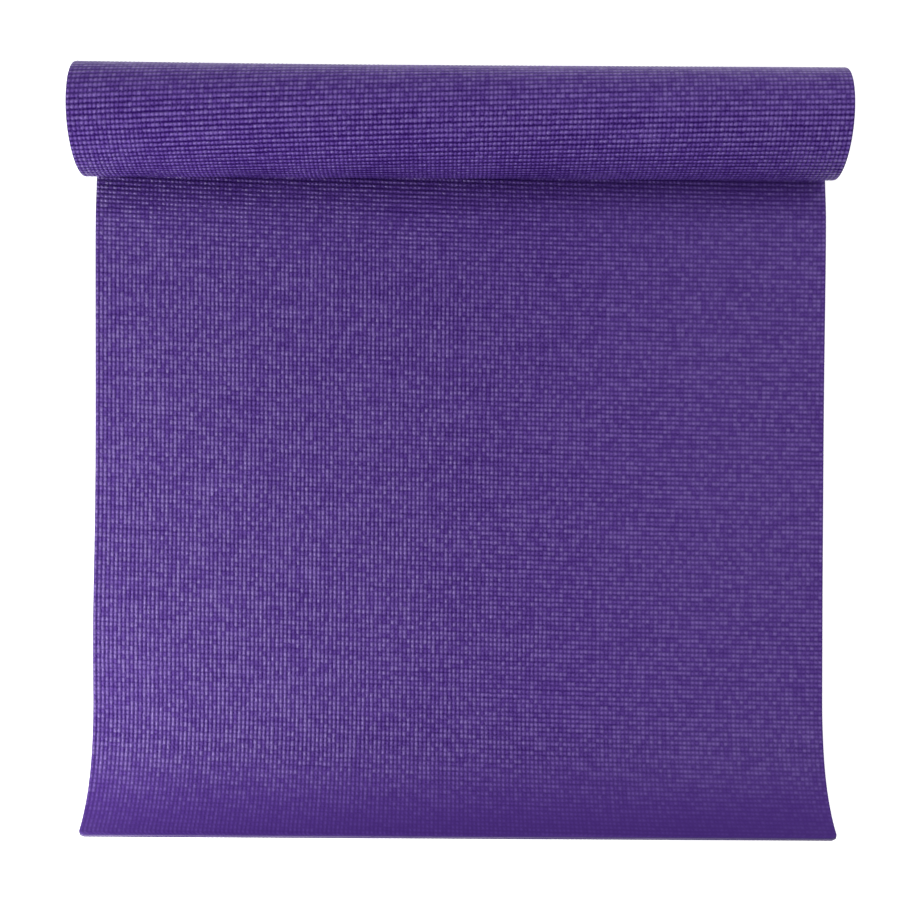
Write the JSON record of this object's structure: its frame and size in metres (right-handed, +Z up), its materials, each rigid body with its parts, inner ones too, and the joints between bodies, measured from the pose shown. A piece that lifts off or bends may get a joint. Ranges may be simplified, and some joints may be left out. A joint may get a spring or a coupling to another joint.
{
  "type": "yoga mat",
  "caption": "Thin foam exercise mat on a woven scrim, partly unrolled: a flat run, a tight roll lying on one end of it, and a free edge that curls up.",
  "frame": {"origin": "on the floor, under the middle of the whole object's box", "axes": "+X across the mat, +Y along it from the curled free edge towards the roll, +Z up from the floor"},
  "size_m": [0.61, 0.622, 0.092],
  "materials": {
    "upper_foam": "matte foamed PVC with a fine waffle grain",
    "scrim": "open polyester scrim, sealed between the foam layers",
    "lower_foam": "matte foamed PVC with a fine waffle grain"
  },
  "bodies": {
    "flat_run": {"flat_run_lower_foam": "lower_foam", "flat_run_scrim": "scrim", "flat_run_upper_foam": "upper_foam"},
    "lip_1": {"lip_1_lower_foam": "lower_foam", "lip_1_scrim": "scrim", "lip_1_upper_foam": "upper_foam"},
    "lip_2": {"lip_2_lower_foam": "lower_foam", "lip_2_scrim": "scrim", "lip_2_upper_foam": "upper_foam"},
    "lip_3": {"lip_3_lower_foam": "lower_foam", "lip_3_scrim": "scrim", "lip_3_upper_foam": "upper_foam"},
    "lip_4": {"lip_4_lower_foam": "lower_foam", "lip_4_scrim": "scrim", "lip_4_upper_foam": "upper_foam"},
    "wrap_01": {"wrap_01_lower_foam": "lower_foam", "wrap_01_scrim": "scrim", "wrap_01_upper_foam": "upper_foam"},
    "wrap_02": {"wrap_02_lower_foam": "lower_foam", "wrap_02_scrim": "scrim", "wrap_02_upper_foam": "upper_foam"},
    "wrap_03": {"wrap_03_lower_foam": "lower_foam", "wrap_03_scrim": "scrim", "wrap_03_upper_foam": "upper_foam"},
    "wrap_04": {"wrap_04_lower_foam": "lower_foam", "wrap_04_scrim": "scrim", "wrap_04_upper_foam": "upper_foam"},
    "wrap_05": {"wrap_05_lower_foam": "lower_foam", "wrap_05_scrim": "scrim", "wrap_05_upper_foam": "upper_foam"},
    "wrap_06": {"wrap_06_lower_foam": "lower_foam", "wrap_06_scrim": "scrim", "wrap_06_upper_foam": "upper_foam"},
    "wrap_07": {"wrap_07_lower_foam": "lower_foam", "wrap_07_scrim": "scrim", "wrap_07_upper_foam": "upper_foam"},
    "wrap_08": {"wrap_08_lower_foam": "lower_foam", "wrap_08_scrim": "scrim", "wrap_08_upper_foam": "upper_foam"},
    "wrap_09": {"wrap_09_lower_foam": "lower_foam", "wrap_09_scrim": "scrim", "wrap_09_upper_foam": "upper_foam"},
    "wrap_10": {"wrap_10_lower_foam": "lower_foam", "wrap_10_scrim": "scrim", "wrap_10_upper_foam": "upper_foam"},
    "wrap_11": {"wrap_11_lower_foam": "lower_foam", "wrap_11_scrim": "scrim", "wrap_11_upper_foam": "upper_foam"},
    "wrap_12": {"wrap_12_lower_foam": "lower_foam", "wrap_12_scrim": "scrim", "wrap_12_upper_foam": "upper_foam"},
    "core_roll": {"core_roll_lower_foam": "lower_foam", "core_roll_scrim": "scrim", "core_roll_upper_foam": "upper_foam"}
  },
  "joints": [
    {"name": "lip_hinge_1", "type": "hinge", "parent": "flat_run", "child": "lip_1", "pos_m": [0, -0.19988, 0], "axis": [1, 0, 0], "range_deg": [0, 6.75], "stiffness_Nm_per_rad": 0.2, "springref_deg": -3.44},
    {"name": "lip_hinge_2", "type": "hinge", "parent": "lip_1", "child": "lip_2", "pos_m": [0, -0.25111, 0.00606], "axis": [1, 0, 0], "range_deg": [0, 13.5], "stiffness_Nm_per_rad": 0.2, "springref_deg": -6.88},
    {"name": "lip_hinge_3", "type": "hinge", "parent": "lip_2", "child": "lip_3", "pos_m": [0, -0.27782, 0.01592], "axis": [1, 0, 0], "range_deg": [0, 13.5], "stiffness_Nm_per_rad": 0.2, "springref_deg": -6.88},
    {"name": "lip_hinge_4", "type": "hinge", "parent": "lip_3", "child": "lip_4", "pos_m": [0, -0.29744, 0.02903], "axis": [1, 0, 0], "range_deg": [0, 13.5], "stiffness_Nm_per_rad": 0.2, "springref_deg": -6.88},
    {"name": "wrap_hinge_01", "type": "hinge", "parent": "flat_run", "child": "wrap_01", "pos_m": [0, 0.26012, 0], "axis": [-1, 0, 0], "range_deg": [0, 15]},
    {"name": "wrap_hinge_02", "type": "hinge", "parent": "wrap_01", "child": "wrap_02", "pos_m": [0, 0.28418, 0.00665], "axis": [-1, 0, 0], "range_deg": [0, 30]},
    {"name": "wrap_hinge_03", "type": "hinge", "parent": "wrap_02", "child": "wrap_03", "pos_m": [0, 0.30392, 0.02646], "axis": [-1, 0, 0], "range_deg": [0, 30]},
    {"name": "wrap_hinge_04", "type": "hinge", "parent": "wrap_03", "child": "wrap_04", "pos_m": [0, 0.31098, 0.0522], "axis": [-1, 0, 0], "range_deg": [0, 30]},
    {"name": "wrap_hinge_05", "type": "hinge", "parent": "wrap_04", "child": "wrap_05", "pos_m": [0, 0.30543, 0.07371], "axis": [-1, 0, 0], "range_deg": [0, 30]},
    {"name": "wrap_hinge_06", "type": "hinge", "parent": "wrap_05", "child": "wrap_06", "pos_m": [0, 0.29218, 0.08706], "axis": [-1, 0, 0], "range_deg": [0, 30]},
    {"name": "wrap_hinge_07", "type": "hinge", "parent": "wrap_06", "child": "wrap_07", "pos_m": [0, 0.27312, 0.09202], "axis": [-1, 0, 0], "range_deg": [0, 30]},
    {"name": "wrap_hinge_08", "type": "hinge", "parent": "wrap_07", "child": "wrap_08", "pos_m": [0, 0.25021, 0.08568], "axis": [-1, 0, 0], "range_deg": [0, 30]},
    {"name": "wrap_hinge_09", "type": "hinge", "parent": "wrap_08", "child": "wrap_09", "pos_m": [0, 0.23131, 0.06672], "axis": [-1, 0, 0], "range_deg": [0, 30]},
    {"name": "wrap_hinge_10", "type": "hinge", "parent": "wrap_09", "child": "wrap_10", "pos_m": [0, 0.22456, 0.04213], "axis": [-1, 0, 0], "range_deg": [0, 30]},
    {"name": "wrap_hinge_11", "type": "hinge", "parent": "wrap_10", "child": "wrap_11", "pos_m": [0, 0.2298, 0.02176], "axis": [-1, 0, 0], "range_deg": [0, 30]},
    {"name": "wrap_hinge_12", "type": "hinge", "parent": "wrap_11", "child": "wrap_12", "pos_m": [0, 0.24222, 0.00926], "axis": [-1, 0, 0], "range_deg": [0, 30]},
    {"name": "wrap_hinge_13", "type": "hinge", "parent": "wrap_12", "child": "core_roll", "pos_m": [0, 0.26012, 0.0046], "axis": [-1, 0, 0], "range_deg": [0, 15]}
  ],
  "couplings": [
    {"joint": "lip_hinge_2", "follows": "lip_hinge_1", "ratio": 2},
    {"joint": "lip_hinge_3", "follows": "lip_hinge_1", "ratio": 2},
    {"joint": "lip_hinge_4", "follows": "lip_hinge_1", "ratio": 2},
    {"joint": "wrap_hinge_02", "follows": "wrap_hinge_01", "ratio": 2},
    {"joint": "wrap_hinge_03", "follows": "wrap_hinge_01", "ratio": 2},
    {"joint": "wrap_hinge_04", "follows": "wrap_hinge_01", "ratio": 2},
    {"joint": "wrap_hinge_05", "follows": "wrap_hinge_01", "ratio": 2},
    {"joint": "wrap_hinge_06", "follows": "wrap_hinge_01", "ratio": 2},
    {"joint": "wrap_hinge_07", "follows": "wrap_hinge_01", "ratio": 2},
    {"joint": "wrap_hinge_08", "follows": "wrap_hinge_01", "ratio": 2},
    {"joint": "wrap_hinge_09", "follows": "wrap_hinge_01", "ratio": 2},
    {"joint": "wrap_hinge_10", "follows": "wrap_hinge_01", "ratio": 2},
    {"joint": "wrap_hinge_11", "follows": "wrap_hinge_01", "ratio": 2},
    {"joint": "wrap_hinge_12", "follows": "wrap_hinge_01", "ratio": 2},
    {"joint": "wrap_hinge_13", "follows": "wrap_hinge_01", "ratio": 1}
  ]
}
